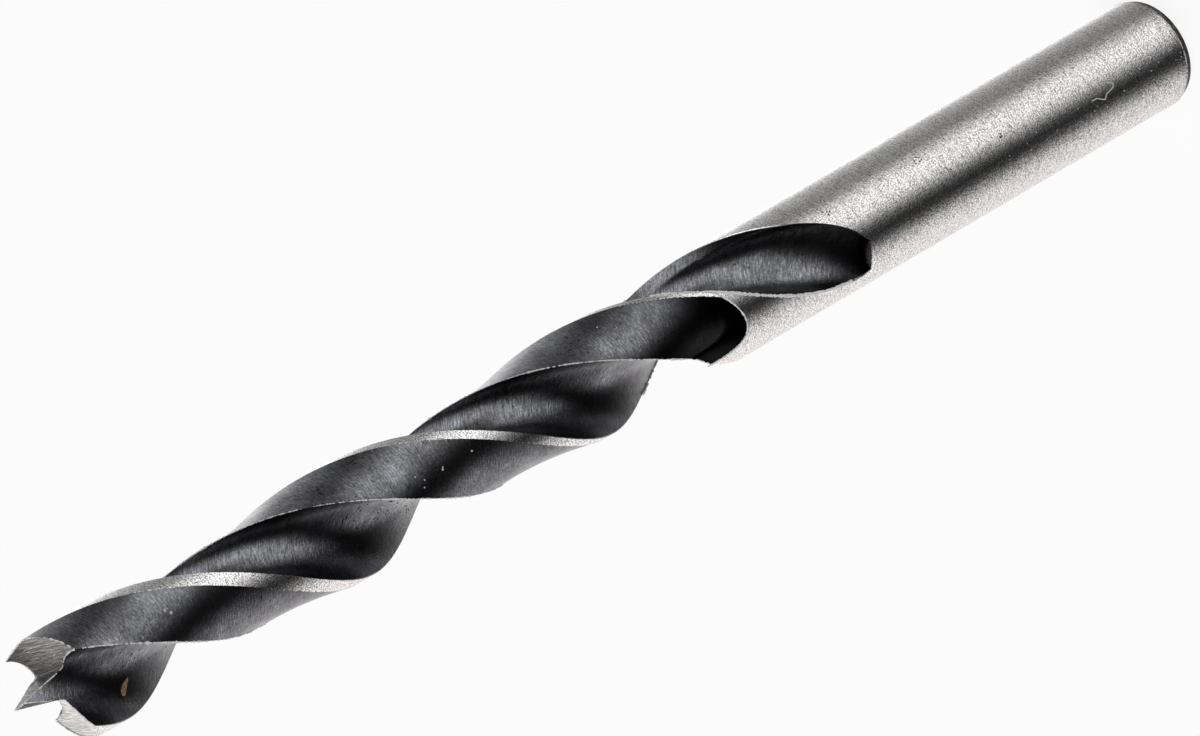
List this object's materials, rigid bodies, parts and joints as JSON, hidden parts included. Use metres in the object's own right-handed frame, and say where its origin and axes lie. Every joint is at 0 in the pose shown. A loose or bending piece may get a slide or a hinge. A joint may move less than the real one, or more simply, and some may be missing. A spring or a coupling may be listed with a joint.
{
  "type": "wood drill bit",
  "caption": "Twist bit for wood with a round shank, spiral flutes and clearance faces, and a ground brad point between two spurs, for clean holes in timber.",
  "frame": {"origin": "centre of the flat shank end", "axes": "+Z along the bit from the shank end to the point; +X where the first land's leading edge, carried down its helix, would meet the shank end"},
  "size_m": [0.008, 0.008, 0.1161],
  "materials": {
    "ground_steel": "bright, ground round the axis on shank and margins, ground in straight lines on the point"
  },
  "bodies": {
    "root": {"drill_bit": "ground_steel"}
  },
  "joints": []
}
